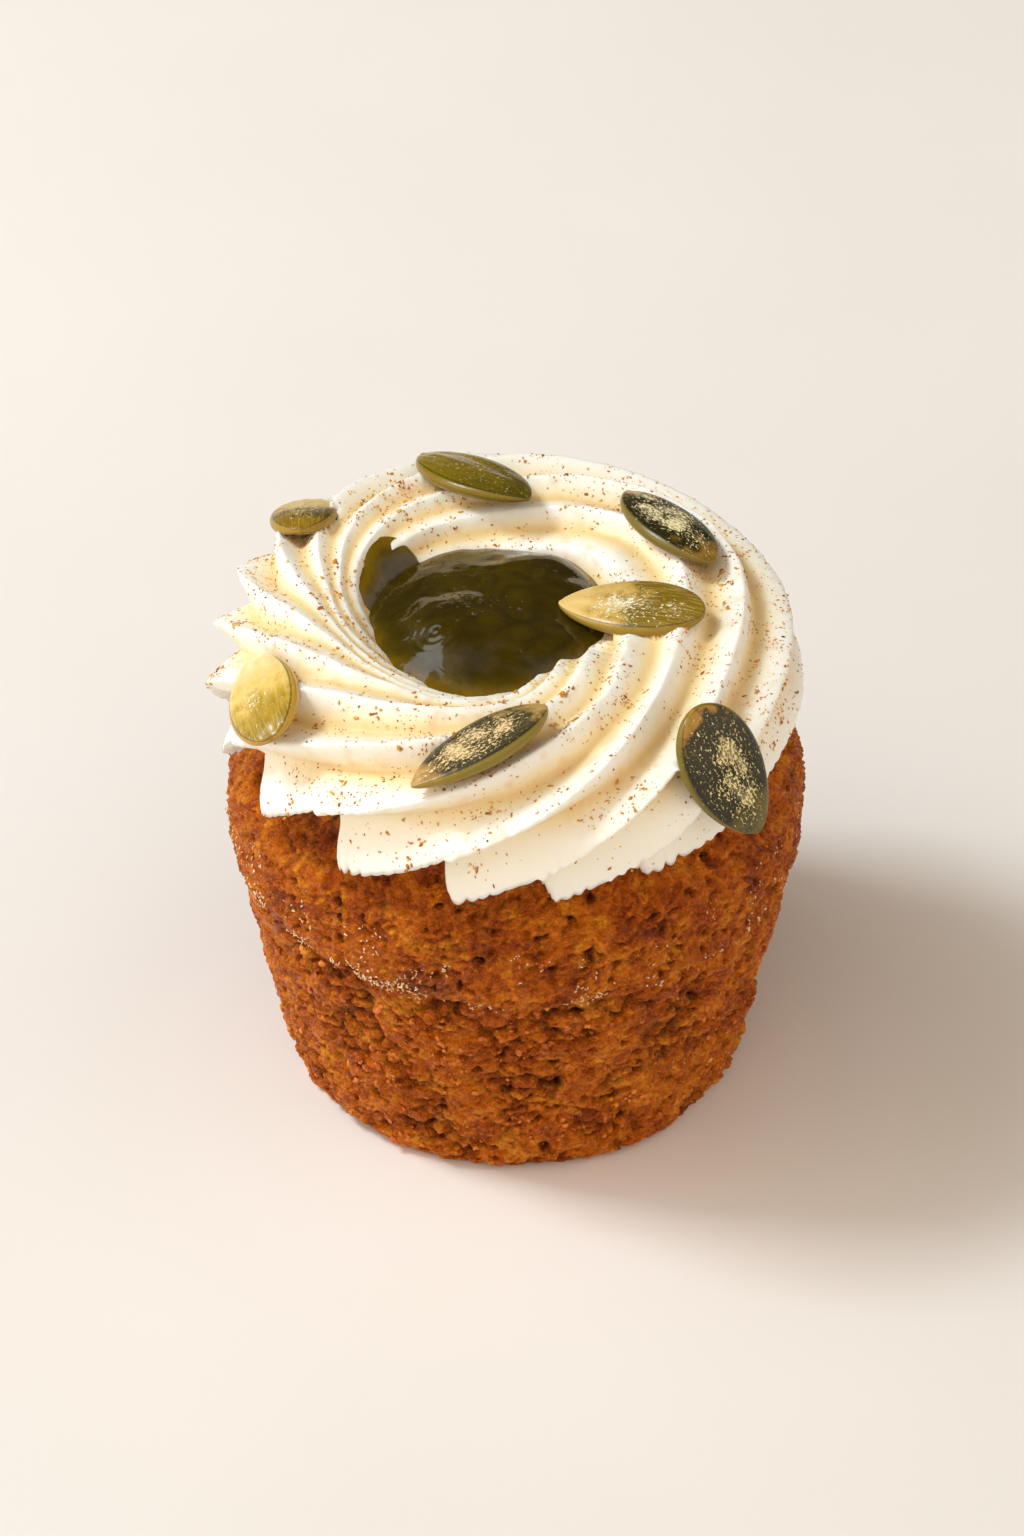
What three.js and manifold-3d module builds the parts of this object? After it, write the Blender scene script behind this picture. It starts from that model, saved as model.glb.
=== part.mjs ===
// Carrot muffin with a piped ring of cream, a pool of dark green gel in the ring
// and seven pumpkin seeds pressed into the cream.
// Millimetres, +Z up. The origin is the middle of the flat base and the front is -Y.
import * as THREE from 'three';
import { mergeVertices } from 'three/addons/utils/BufferGeometryUtils.js';
import Module from 'manifold-3d';

const wasm = await Module();
wasm.setup();

// Driving dimensions.
const clearance = 0.3; // kept between pieces that rest on each other
const facetAllowance = 0.15; // more, where both pieces have few flat sides
const cake = {
  baseRadius: 27,
  cornerRadius: 2,
  rimHeight: 28.7, // where the case ended and the top swelled out
  rimRadius: 31.6,
  rimCrease: 0.5,
  creaseHeight: 1.1,
  equatorHeight: 31.5,
  capRadius: 32.3,
  capHeight: 14.3,
};
const crags = {
  sideDepth: 1.5, // torn crumb
  crustDepth: 0.7, // wrinkled crust above the rim
  coarse: { wide: 4.6, tall: 3.1, share: 0.65 },
  fine: { wide: 2.3, tall: 1.7, share: 0.35 },
  standsAbove: 1.2, // the edge of the base is whole
  smoothWithin: 27.5, // the crust under the cream is smooth
  fullBeyond: 29.4,
};
const ring = {
  centreX: -2.1,
  centreY: -0.6,
  radius: 21.4,
  height: 52.6, // of the tube's widest level
  halfWidth: 10.8,
  widerRight: 1.1,
  widerFront: 0.6,
  riseAbove: 8.8,
  riseFront: -0.4,
  dropBelow: 12,
  footSquareness: 0.55, // below 1, the tube spreads where it sits on the cake
  footTuckRight: 1.5, // the foot draws in at the right
  bankShifts: [ // the well's bank stands back at the front and leans in at the front right
    { around: 258, spread: 34, back: 0.85 },
    { around: 306, spread: 24, back: -1.5 },
  ],
};
const ridge = {
  count: 10, // one for each notch of the star nozzle
  depth: 2.4,
  outerExtra: 1.1, // deeper on the outer wall
  innerLess: 2, // shallower in the well
  sharpness: 0.72, // below 1, crests are tighter than grooves
  closest: 0.4, // ridges bunched closer than this are no shallower
  wallGroove: 0.3, // on the outer wall a groove lies close under the crest above
};
// Each ridge's crest overhangs the cake until the next ridge comes out from under it,
// so the foot runs in steps, which are low at the front right.
const foot = {
  low: -60,
  lowStepsAround: 310,
  lowStepsSpread: 38,
  lowStepsLess: 0.65,
  undercut: 4.5,
  undercutWithin: 5, // degrees of the section
  shift: 14, // the crests at the front run a little higher where they meet the cake
  shiftAround: 279,
  shiftSpread: 32,
};
// The ridges turn once round the tube in a loop of the ring, slowly at the front
// and right, and fast at the left, where they fan out of one bunched corner.
const twist = {
  start: 130,
  slowing: [
    { times: 1, size: -41, from: 50 },
    { times: 2, size: -3, from: 35 },
    { times: 3, size: -9, from: 0 },
  ],
  bunching: 45,
  bunchAround: 209,
  bunchSpread: 124,
  bunchSide: -63,
};
const gel = {
  floor: 43,
  edgeHeight: 57,
  crown: 2.3,
  // folds that ran together, each from the middle of the ring
  folds: [
    { x: -3.6, y: -2.6, size: 8.4, rise: 3.5 },
    { x: 3.4, y: 4.4, size: 8.4, rise: 2.9 },
    { x: 4.6, y: -4.6, size: 6.8, rise: 2.4 },
  ],
};
const seedThickness = 2.5;
const seedBoxiness = 0.8; // below 1, the faces are flatter than an ellipse's
// around and section say where on the ring a seed lies, lift how far its middle is
// above the ridges; heading, pitch and roll turn it, its point towards +X at first. A
// larger blunt or point tapers that end more.
const seeds = [
  { around: 143.6, section: 58, lift: -0.6, heading: 88.9, pitch: -21.8, roll: -5.7,
    length: 13, width: 7.4, blunt: 0.55, point: 0.65 },
  { around: 97, section: 99.3, lift: 0.4, heading: -43, pitch: 7.3, roll: -13.7,
    length: 16.4, width: 9, blunt: 0.6, point: 0.68 },
  { around: 30.1, section: 89.3, lift: 0.2, heading: -55.8, pitch: 0.5, roll: -16.6,
    length: 15.8, width: 8.2, blunt: 0.66, point: 0.64 },
  { around: -6.9, section: 123.9, lift: 0.5, heading: 163.9, pitch: -7.5, roll: -1.4,
    length: 16.2, width: 8.8, blunt: 0.55, point: 0.72 },
  { around: 212.7, section: 46.2, lift: 0.3, heading: 99.9, pitch: -1.6, roll: -31.1,
    length: 14.2, width: 8.2, blunt: 0.5, point: 0.58 },
  { around: 266.3, section: 69.5, lift: 0.2, heading: 213.6, pitch: -10.8, roll: 15.9,
    length: 16.8, width: 8, blunt: 0.65, point: 0.76 },
  { around: 315.7, section: 18.8, lift: 0.3, heading: -15, pitch: -62, roll: 34,
    length: 16.4, width: 9.5, blunt: 0.5, point: 0.68 },
];

// Mesh steps.
const cakeColumns = 66;
const sideRows = 15;
const capRows = 12;
const rowCrowding = 1.2; // rows are closer at the foot of the side and the rim of the cap
const ringSteps = 68;
const frontCrowding = 0.3; // the ring's steps are closer at the front
const frontAround = -10;
const pointsPerRidge = 4;
const domeColumns = 36;
const domeRows = 9;
const gelColumns = 40;
const gelWallRows = 5;
const gelTopRows = 5;
const seedStations = 12;
const seedSides = 12;

const turn = 2 * Math.PI;
const rad = THREE.MathUtils.degToRad;
const { clamp, smoothstep, lerp } = THREE.MathUtils;

// 1 where the angle is at the middle, fading to nothing well past the spread. The
// middle and the spread are in degrees.
function near(angle, middle, spread) {
  const away = (((angle / turn - middle / 360 + 10.5) % 1) - 0.5) * 360;
  return Math.exp(-((away / spread) ** 2));
}

// A surface of rows of points, each row a loop. The rows close on themselves, or
// end in a point at both ends.
function loopedSurface(rows, ends) {
  const count = rows[0].length;
  const points = rows.flat();
  const faces = [];
  const lastRow = ends ? rows.length - 1 : rows.length;
  for (let i = 0; i < lastRow; i += 1) {
    for (let j = 0; j < count; j += 1) {
      const k = (j + 1) % count;
      const here = i * count;
      const next = ((i + 1) % rows.length) * count;
      faces.push(here + j, here + k, next + k, here + j, next + k, next + j);
    }
  }
  if (ends) {
    const first = points.push(ends[0]) - 1;
    const last = points.push(ends[1]) - 1;
    const top = (rows.length - 1) * count;
    for (let j = 0; j < count; j += 1) {
      const k = (j + 1) % count;
      faces.push(first, k, j, last, top + j, top + k);
    }
  }
  const geometry = new THREE.BufferGeometry().setFromPoints(points);
  geometry.setIndex(faces);
  return geometry;
}

function toSolid(geometry) {
  const bare = geometry.clone();
  bare.deleteAttribute('normal');
  bare.deleteAttribute('uv');
  const merged = mergeVertices(bare, 1e-4);
  const vertProperties = new Float32Array(merged.attributes.position.array);
  const triVerts = new Uint32Array(merged.index.array);
  return new wasm.Manifold(new wasm.Mesh({ numProp: 3, vertProperties, triVerts }));
}

function toGeometry(solid) {
  const mesh = solid.getMesh();
  const geometry = new THREE.BufferGeometry();
  geometry.setAttribute('position', new THREE.BufferAttribute(mesh.vertProperties, 3));
  geometry.setIndex(new THREE.BufferAttribute(mesh.triVerts, 1));
  return geometry;
}

// Repeatable noise between 0 and 1, smooth between whole numbers.
function noise(x, y, z) {
  const corner = (i, j, k) => {
    const n = Math.sin(i * 127.1 + j * 311.7 + k * 74.7) * 43758.5453;
    return n - Math.floor(n);
  };
  const [i, j, k] = [x, y, z].map(Math.floor);
  const [u, v, w] = [x - i, y - j, z - k].map((t) => t * t * (3 - 2 * t));
  const edge = (dj, dk) => lerp(corner(i, j + dj, k + dk), corner(i + 1, j + dj, k + dk), u);
  return lerp(lerp(edge(0, 0), edge(1, 0), v), lerp(edge(0, 1), edge(1, 1), v), w);
}

// The cake: a tapered side, a crease at the rim and a domed top.
function capPoint(climb) {
  const radius = cake.capRadius * Math.cos(climb) ** (2 / 3);
  const height = cake.equatorHeight + cake.capHeight * Math.sin(climb) ** (1 / 2);
  return new THREE.Vector2(radius, height);
}

function sideRadius(height) {
  const slope = (cake.rimRadius - cake.baseRadius) / (cake.rimHeight - cake.cornerRadius);
  const straight = cake.baseRadius + slope * (height - cake.cornerRadius);
  const below = Math.max(0, cake.cornerRadius - height);
  const round = cake.cornerRadius - Math.sqrt(cake.cornerRadius ** 2 - below ** 2);
  const swell = smoothstep(height, cake.rimHeight, cake.equatorHeight);
  const crease = cake.rimCrease * Math.exp(-(((height - cake.rimHeight) / cake.creaseHeight) ** 2));
  return lerp(straight, cake.capRadius, swell) - round - crease;
}

function cakeProfile() {
  const profile = [];
  for (let i = 0; i <= sideRows; i += 1) {
    const height = cake.equatorHeight * (i / sideRows) ** rowCrowding;
    profile.push(new THREE.Vector2(sideRadius(height), height));
  }
  for (let i = 1; i < capRows; i += 1) {
    profile.push(capPoint((Math.PI / 2) * (i / capRows) ** rowCrowding));
  }
  return profile;
}

// Crags only cut into the crumb, so the crust never swells into the cream.
function cragDepth(x, y, z) {
  const { coarse, fine } = crags;
  const rough = coarse.share * noise(x / coarse.wide + 31, y / coarse.wide + 17, z / coarse.tall + 5)
    + fine.share * noise(x / fine.wide + 11, y / fine.wide + 43, z / fine.tall + 23);
  const crust = smoothstep(z, cake.rimHeight - 1, cake.equatorHeight);
  const depth = lerp(crags.sideDepth, crags.crustDepth, crust);
  const standing = smoothstep(z, 0, crags.standsAbove);
  const shown = smoothstep(Math.hypot(x, y), crags.smoothWithin, crags.fullBeyond);
  return depth * rough * standing * (z < cake.equatorHeight ? 1 : shown);
}

function cakeGeometry() {
  const rows = [];
  const base = [0.5, 0.97].map((share) => new THREE.Vector2(sideRadius(0) * share, 0));
  for (const at of [...base, ...cakeProfile()]) {
    const row = [];
    for (let j = 0; j < cakeColumns; j += 1) {
      const around = (j / cakeColumns) * turn;
      const [x, y] = [at.x * Math.cos(around), at.x * Math.sin(around)];
      const inwards = 1 - cragDepth(x, y, at.y) / at.x;
      row.push(new THREE.Vector3(x * inwards, y * inwards, at.y));
    }
    rows.push(row);
  }
  const top = new THREE.Vector3(0, 0, cake.equatorHeight + cake.capHeight);
  return loopedSurface(rows, [new THREE.Vector3(), top]);
}

// The space the dome takes, with its clearance, down to below the cream's foot. Its
// few flat sides stand a little further out, to stay clear between their corners.
function domeSpace() {
  const grow = clearance + facetAllowance;
  const outline = [
    new THREE.Vector2(0, cake.rimHeight),
    new THREE.Vector2(cake.capRadius + grow, cake.rimHeight),
  ];
  for (let i = 0; i < domeRows; i += 1) {
    const climb = (Math.PI / 2) * (i / domeRows) ** rowCrowding;
    const here = capPoint(climb);
    const along = capPoint(climb + 0.001).sub(here).normalize();
    outline.push(here.add(new THREE.Vector2(along.y, -along.x).multiplyScalar(grow)));
  }
  outline.push(new THREE.Vector2(0, cake.equatorHeight + cake.capHeight + grow));
  return toSolid(new THREE.LatheGeometry(outline, domeColumns).rotateX(Math.PI / 2));
}

// Half the width of the cream's tube, and how far it reaches from its widest level.
function tubeSize(around, upper) {
  const [towardsRight, towardsFront] = [Math.cos(around), -Math.sin(around)];
  const halfWidth = ring.halfWidth + ring.widerRight * towardsRight + ring.widerFront * towardsFront;
  const rise = upper ? ring.riseAbove + ring.riseFront * towardsFront : ring.dropBelow;
  const tuck = upper ? 0 : ring.footTuckRight * Math.max(0, towardsRight);
  return { halfWidth, rise, tuck, squareness: upper ? 1 : ring.footSquareness };
}

function fromRingCentre(around, radius, height) {
  const x = ring.centreX + radius * Math.cos(around);
  const y = ring.centreY + radius * Math.sin(around);
  return new THREE.Vector3(x, y, height);
}

// A point of the tube, with inset counted inwards from the ridges' crests.
function ringPoint(around, section, inset) {
  const [across, up] = [Math.cos(section), Math.sin(section)];
  const { halfWidth, rise, tuck, squareness } = tubeSize(around, up > 0);
  const width = halfWidth - inset - tuck * Math.abs(up);
  const outwards = Math.sign(across) * Math.abs(across) ** squareness * width;
  return fromRingCentre(around, ring.radius + outwards, ring.height + (rise - inset) * up);
}

// How far the bank of the well stands back from the even tube.
function bankShift(around) {
  let back = 0;
  for (const shift of ring.bankShifts) {
    back += shift.back * near(around, shift.around, shift.spread);
  }
  return back;
}

// The radius of the well in the ring at a height, between the ridges' crests.
function wellRadius(around, height) {
  const { halfWidth, rise, squareness } = tubeSize(around, height > ring.height);
  const up = (height - ring.height) / rise;
  return ring.radius - (halfWidth - bankShift(around)) * Math.sqrt(1 - up ** 2) ** squareness;
}

// Where in the section, from -half a turn to half a turn, the given place between
// ridges lies, and how far apart the ridges are there, 1 being even.
function ridgeAt(around, place) {
  let even = around + rad(twist.start) - (place / ridge.count) * turn;
  for (const { times, size, from } of twist.slowing) {
    even += rad(size) * Math.sin(times * (around - rad(from)));
  }
  const bunching = rad(twist.bunching) * near(around, twist.bunchAround, twist.bunchSpread);
  const spacing = 1 + bunching * Math.cos(even - rad(twist.bunchSide));
  const twisted = even + bunching * Math.sin(even - rad(twist.bunchSide));
  const section = (((twisted / turn + 10.5) % 1) - 0.5) * turn;
  const raised = rad(foot.shift) * near(around, foot.shiftAround, foot.shiftSpread);
  return { section: section + raised * near(section, foot.low, foot.shiftSpread), spacing };
}

// How deep a groove is at a place between its crests, 1 in its middle. On the outer
// wall that middle lies close under the crest above.
function grooveShare(section, place) {
  const part = place - Math.floor(place);
  const wall = smoothstep(Math.cos(section), 0.3, 0.85) * (1 - smoothstep(Math.sin(section), 0.35, 0.9));
  const middle = lerp(0.5, ridge.wallGroove, wall);
  const turned = part < middle ? part / middle / 2 : 1 - (1 - part) / (1 - middle) / 2;
  return (Math.sin(Math.PI * turned) ** 2) ** ridge.sharpness;
}

// How far the surface is drawn in below the crest that overhangs the cake.
function undercut(around, section, place, spacing) {
  if (Math.cos(section) <= 0 || Math.sin(section) > 0.3) {
    return 0;
  }
  const below = Math.ceil(place) - place;
  const even = 1 - foot.lowStepsLess * near(around, foot.lowStepsAround, foot.lowStepsSpread);
  const edge = rad(foot.low) + (below * even * spacing * turn) / ridge.count;
  return foot.undercut * smoothstep(edge - section, 0, rad(foot.undercutWithin));
}

function creamRing() {
  const rows = [];
  for (let i = 0; i < ringSteps; i += 1) {
    const even = (i / ringSteps) * turn;
    const around = even - frontCrowding * Math.cos(even - rad(frontAround));
    const row = [];
    for (let j = 0; j < ridge.count * pointsPerRidge; j += 1) {
      const place = j / pointsPerRidge;
      const { section, spacing } = ridgeAt(around, place);
      const across = Math.cos(section);
      const change = across > 0 ? ridge.outerExtra : ridge.innerLess;
      const deepest = (ridge.depth + change * across) * clamp(spacing, ridge.closest, 1);
      const bank = bankShift(around) * smoothstep(-across, 0.09, 0.57);
      const drawnIn = bank + undercut(around, section, place, spacing);
      row.push(ringPoint(around, section, grooveShare(section, place) * deepest + drawnIn));
    }
    rows.push(row);
  }
  return toSolid(loopedSurface(rows, null));
}

// Height of the gel above its edge: the highest of its crown and folds.
function gelRise(x, y, share) {
  const tops = gel.folds.map((fold) => {
    const away = Math.hypot(x - fold.x, y - fold.y) / fold.size;
    return fold.rise * (1 - away ** 2.2);
  });
  return Math.max(gel.crown * (1 - share ** 2.4), ...tops);
}

// The gel fills the well up to just below its brim.
function gelPool() {
  const loop = (share, height, folded) => {
    const row = [];
    for (let j = 0; j < gelColumns; j += 1) {
      const around = (j / gelColumns) * turn;
      const radius = (wellRadius(around, height) - clearance - facetAllowance) * share;
      const rise = folded ? gelRise(radius * Math.cos(around), radius * Math.sin(around), share) : 0;
      row.push(fromRingCentre(around, radius, height + rise));
    }
    return row;
  };
  const rows = [];
  for (let i = 0; i <= gelWallRows; i += 1) {
    rows.push(loop(1, lerp(gel.floor, gel.edgeHeight, i / gelWallRows), false));
  }
  for (let i = 1; i <= gelTopRows; i += 1) {
    rows.push(loop(1 - i / (gelTopRows + 1), gel.edgeHeight, true));
  }
  const bottom = fromRingCentre(0, 0, gel.floor);
  const crown = fromRingCentre(0, 0, gel.edgeHeight + gelRise(0, 0, 0));
  return toSolid(loopedSurface(rows, [bottom, crown]));
}

// A flat seed, round at one end and pointed at the other, grown by the clearance
// where it is the socket it lies in.
function seedGeometry(seed, grow) {
  const { blunt, point } = seed;
  const taper = (t) => t ** blunt * (1 - t) ** point;
  const widest = taper(blunt / (blunt + point));
  const boxed = (share) => Math.sign(share) * Math.abs(share) ** seedBoxiness;
  const rows = [];
  for (let i = 1; i < seedStations; i += 1) {
    const t = (1 - Math.cos((Math.PI * i) / seedStations)) / 2;
    const fullness = taper(t) / widest;
    const halfWidth = (seed.width / 2) * fullness + grow;
    const halfHeight = (seedThickness / 2) * fullness ** 0.7 + grow;
    const x = (t - 0.5) * (seed.length + 2 * grow);
    const row = [];
    for (let j = 0; j < seedSides; j += 1) {
      const a = (j / seedSides) * turn;
      row.push(new THREE.Vector3(x, halfWidth * boxed(Math.cos(a)), halfHeight * boxed(Math.sin(a))));
    }
    rows.push(row);
  }
  const tip = seed.length / 2 + grow;
  const ends = [new THREE.Vector3(-tip, 0, 0), new THREE.Vector3(tip, 0, 0)];
  return loopedSurface(rows, ends);
}

// The seed's place on the ring: its middle is lifted off the crest surface.
function seedPlacement(seed) {
  const [around, section] = [rad(seed.around), rad(seed.section)];
  const at = ringPoint(around, section, -seed.lift);
  const turning = new THREE.Euler(rad(seed.roll), rad(-seed.pitch), rad(seed.heading), 'ZYX');
  return { at, turning };
}

function seedSocket(seed) {
  const { at, turning } = seedPlacement(seed);
  const matrix = new THREE.Matrix4().makeRotationFromEuler(turning).setPosition(at);
  return toSolid(seedGeometry(seed, clearance).applyMatrix4(matrix));
}

const paint = {
  cake: new THREE.MeshStandardMaterial({ color: '#a85f22', roughness: 0.75, metalness: 0 }),
  cream: new THREE.MeshStandardMaterial({ color: '#f6efdf', roughness: 0.5, metalness: 0 }),
  gel: new THREE.MeshStandardMaterial({ color: '#37350f', roughness: 0.1, metalness: 0 }),
  seed: new THREE.MeshStandardMaterial({ color: '#6f6a2e', roughness: 0.35, metalness: 0 }),
};

function named(name, geometry, material) {
  const mesh = new THREE.Mesh(geometry, material);
  mesh.name = name;
  return mesh;
}

const sockets = wasm.Manifold.union(seeds.map(seedSocket));
const dome = domeSpace();
const cream = creamRing().subtract(dome).subtract(sockets);
const pool = gelPool().subtract(dome).subtract(sockets);

const muffin = new THREE.Group();
muffin.add(named('cake', cakeGeometry(), paint.cake));
muffin.add(named('cream', toGeometry(cream), paint.cream));
muffin.add(named('gel', toGeometry(pool), paint.gel));
seeds.forEach((seed, index) => {
  const mesh = named(`pumpkin_seed_${index + 1}`, seedGeometry(seed, 0), paint.seed);
  const { at, turning } = seedPlacement(seed);
  mesh.position.copy(at);
  mesh.rotation.copy(turning);
  muffin.add(mesh);
});

export default muffin;
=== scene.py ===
import math
import random
from math import cos, pi, radians, sin

import bmesh
import bpy
from mathutils import Matrix, Vector, noise


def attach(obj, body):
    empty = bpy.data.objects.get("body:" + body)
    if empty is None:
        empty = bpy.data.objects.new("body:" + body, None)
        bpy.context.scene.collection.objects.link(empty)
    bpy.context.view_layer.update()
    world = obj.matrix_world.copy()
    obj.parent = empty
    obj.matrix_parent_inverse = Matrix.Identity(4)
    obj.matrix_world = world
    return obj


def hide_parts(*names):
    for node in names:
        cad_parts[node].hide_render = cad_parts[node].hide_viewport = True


mm = 0.001
scene = bpy.context.scene

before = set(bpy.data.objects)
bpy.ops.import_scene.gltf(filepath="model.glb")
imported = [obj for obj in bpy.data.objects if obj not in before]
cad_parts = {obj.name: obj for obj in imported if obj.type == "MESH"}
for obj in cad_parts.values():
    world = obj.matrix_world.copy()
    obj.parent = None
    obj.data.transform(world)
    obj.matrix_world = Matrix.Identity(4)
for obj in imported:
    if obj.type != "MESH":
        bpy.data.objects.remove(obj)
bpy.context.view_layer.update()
print("packed model loaded")


def mix(a, b, share):
    return a + (b - a) * share


def clamp(value, low=0.0, high=1.0):
    return max(low, min(high, value))


def smoothStep(value, low, high):
    t = clamp((value - low) / (high - low))
    return t * t * (3 - 2 * t)


def hill(value, middle, spread):
    # 1 at the middle and fading to nothing well past the spread
    return math.exp(-(((value - middle) / spread) ** 2))


def near(angle, middle, spread):
    # the same for angles in radians
    return hill(math.remainder(angle - middle, 2 * pi), 0, spread)


def lumps(at, size, shift=0.0, tall=1.0):
    # smooth noise from about -1 to 1, its lumps size mm wide and tall times as high
    place = (at.x / size + shift, at.y / size - shift, at.z / (size * tall) + shift * 2)
    return noise.noise(Vector(place))


def beads(at, size, shift=0.0, tall=1.0):
    # rounded crumbs size mm wide: 1 on top of each, down to 0 in the seams
    place = (at.x / size + shift, at.y / size, at.z / (size * tall) - shift)
    reach = noise.voronoi(Vector(place))[0]
    return math.sqrt(max(0, 1 - (reach[0] / 0.75) ** 2)) * clamp((reach[1] - reach[0]) * 4)


def finishPiece(bm, name, material, nodes=()):
    bmesh.ops.scale(bm, vec=(mm, mm, mm), verts=bm.verts)
    mesh = bpy.data.meshes.new(name)
    bm.to_mesh(mesh)
    bm.free()
    mesh.shade_smooth()
    mesh.materials.append(material)
    piece = bpy.data.objects.new(name, mesh)
    scene.collection.objects.link(piece)
    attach(piece, "root")
    if nodes:
        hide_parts(*nodes)
    print(name, "has", len(mesh.polygons), "faces")
    return piece


# Materials

def colour(code):
    # an sRGB hex value turned to linear
    parts = [int(code[i:i + 2], 16) / 255 for i in (1, 3, 5)]
    return [p / 12.92 if p <= 0.04045 else ((p + 0.055) / 1.055) ** 2.4 for p in parts] + [1]


def pattern(size):
    # texture scale for features of this many millimetres
    return 1 / (size * mm)


def addNode(tree, kind, settings=(), links=()):
    # settings are properties or inputs by name or number, and links are inputs alone
    node = tree.nodes.new("ShaderNode" + kind)
    for key, value in dict(settings).items():
        if key == "stops":
            ramp = node.color_ramp.elements
            while len(ramp) < len(value):
                ramp.new(1)
            for element, (place, code) in zip(ramp, value):
                element.position = place
                element.color = colour(code)
        elif isinstance(key, str) and hasattr(node, key):
            setattr(node, key, value)
        else:
            node.inputs[key].default_value = value
    for key, socket in dict(links).items():
        tree.links.new(socket, node.inputs[key])
    return node


def startMaterial(name, shaderSettings):
    material = bpy.data.materials.new(name)
    material.use_nodes = True
    tree = material.node_tree
    tree.nodes.clear()
    shader = addNode(tree, "BsdfPrincipled", shaderSettings)
    addNode(tree, "OutputMaterial", {}, {"Surface": shader.outputs["BSDF"]})
    coords = addNode(tree, "TexCoord").outputs["Object"]
    return material, tree, shader, coords


def attribute(tree, name, output="Fac"):
    return addNode(tree, "Attribute", {"attribute_name": name}).outputs[output]


def mottle(tree, coords, scale, detail, roughness=0.5, distortion=0.0):
    settings = {"Scale": scale, "Detail": detail, "Roughness": roughness, "Distortion": distortion}
    return addNode(tree, "TexNoise", settings, {"Vector": coords}).outputs["Fac"]


def cells(tree, coords, size):
    return addNode(tree, "TexVoronoi", {"Scale": pattern(size)}, {"Vector": coords})


def ownTone(tree, grains):
    # a random number for each cell
    return addNode(tree, "SeparateColor", {}, {"Color": grains.outputs["Color"]}).outputs["Red"]


def calc(tree, operation, *values):
    # a Math node on numbers and sockets
    node = addNode(tree, "Math", {"operation": operation})
    for socket, value in zip(node.inputs, values):
        if isinstance(value, (int, float)):
            socket.default_value = value
        else:
            tree.links.new(value, socket)
    return node.outputs[0]


def remap(tree, value, start, end, low=0.0, high=1.0):
    settings = {"From Min": start, "From Max": end, "To Min": low, "To Max": high}
    return addNode(tree, "MapRange", settings, {"Value": value}).outputs["Result"]


def toneRamp(tree, stops, place):
    return addNode(tree, "ValToRGB", {"stops": stops}, {"Fac": place}).outputs["Color"]


def tint(tree, under, mask, code):
    # lays a colour over another as far as the mask lets it
    settings = {"data_type": "RGBA", 7: colour(code)}
    return addNode(tree, "Mix", settings, {0: mask, 6: under}).outputs[2]


def addClouds(tree, shader, coords, size, detail, stops):
    # tones the surface in clouds of this many millimetres
    clouds = mottle(tree, coords, pattern(size), detail)
    tree.links.new(toneRamp(tree, stops, clouds), shader.inputs["Base Color"])


def addBump(tree, shader, height, strength, distance):
    settings = {"Strength": strength, "Distance": distance * mm}
    bump = addNode(tree, "Bump", settings, {"Height": height})
    tree.links.new(bump.outputs["Normal"], shader.inputs["Normal"])


# Whipped cream cheese piped from a star nozzle: fat and air make it glow softly. Its grooves
# carry painted shade, toned yellow where the ridges shade each other, and it is stained where the
# spice has bled into it.
creamLook = {
    # the tones from crest to groove are painted shade, deepening down each groove
    "tones": [(0.0, "#f9f4e9"), (0.55, "#f8e6be"), (1.0, "#f0d090")],  # crest to groove
    "halo": "#ebbd80",
    "haloSize": 2.0,
    "dust": "#c07a35",
    "dustSpacing": 0.62,
    "grain": 0.35,
}


def makeCreamMaterial():
    material, tree, shader, coords = startMaterial("whippedCream", {
        "Roughness": 0.42,
        "IOR": 1.42,
        "Subsurface Weight": 0.3,
        "Subsurface Radius": (1.0, 0.78, 0.5),
        "Subsurface Scale": 1.5 * mm,
    })
    dusted = attribute(tree, "dusted")
    # painted shade: the cream turns yellow down each groove, most on top of the ring
    grooveShaded = toneRamp(tree, creamLook["tones"], attribute(tree, "groove"))
    # spice that has bled into the cream
    blotches = mottle(tree, coords, pattern(creamLook["haloSize"]), 4)
    halo = calc(tree, "MULTIPLY", remap(tree, blotches, 0.5, 0.72, 0, 0.7), dusted)
    stained = tint(tree, grooveShaded, halo, creamLook["halo"])
    # the finest dust, a tenth of a millimetre across, one grain in most cells
    grains = cells(tree, coords, creamLook["dustSpacing"])
    reach = remap(tree, ownTone(tree, grains), 0.3, 1, 0, 0.16)
    inside = calc(tree, "LESS_THAN", grains.outputs["Distance"], reach)
    dusty = tint(tree, stained, calc(tree, "MULTIPLY", inside, dusted), creamLook["dust"])
    tree.links.new(dusty, shader.inputs["Base Color"])
    # burst air bubbles leave the surface faintly grainy
    addBump(tree, shader, mottle(tree, coords, pattern(creamLook["grain"]), 3), 0.25, 0.08)
    return material


# Moist carrot crumb: sugar browned it, so crumb tops are honey coloured, and the crust above
# the rim is darker, sticky and finely wrinkled. Torn hollows and pits get painted shade in
# red-brown.
cakeLook = {
    "crumb": [(0.25, "#9a4202"), (0.4, "#c25a02"), (0.56, "#de7404"), (0.74, "#f59a22")],
    "crust": [(0.25, "#8c3802"), (0.4, "#b65202"), (0.56, "#d86e06"), (0.74, "#f09618")],
    # painted shade: the dark tone given to deep torn hollows and crust pits
    "hollowShade": "#4a1500",
    "edge": "#c9863c",
    "flake": 0.7,
    "patch": 4.0,
    "crumbSize": 1.0,
    "crumbGrain": 0.38,
    "crustWrinkle": 0.75,
}


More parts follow.
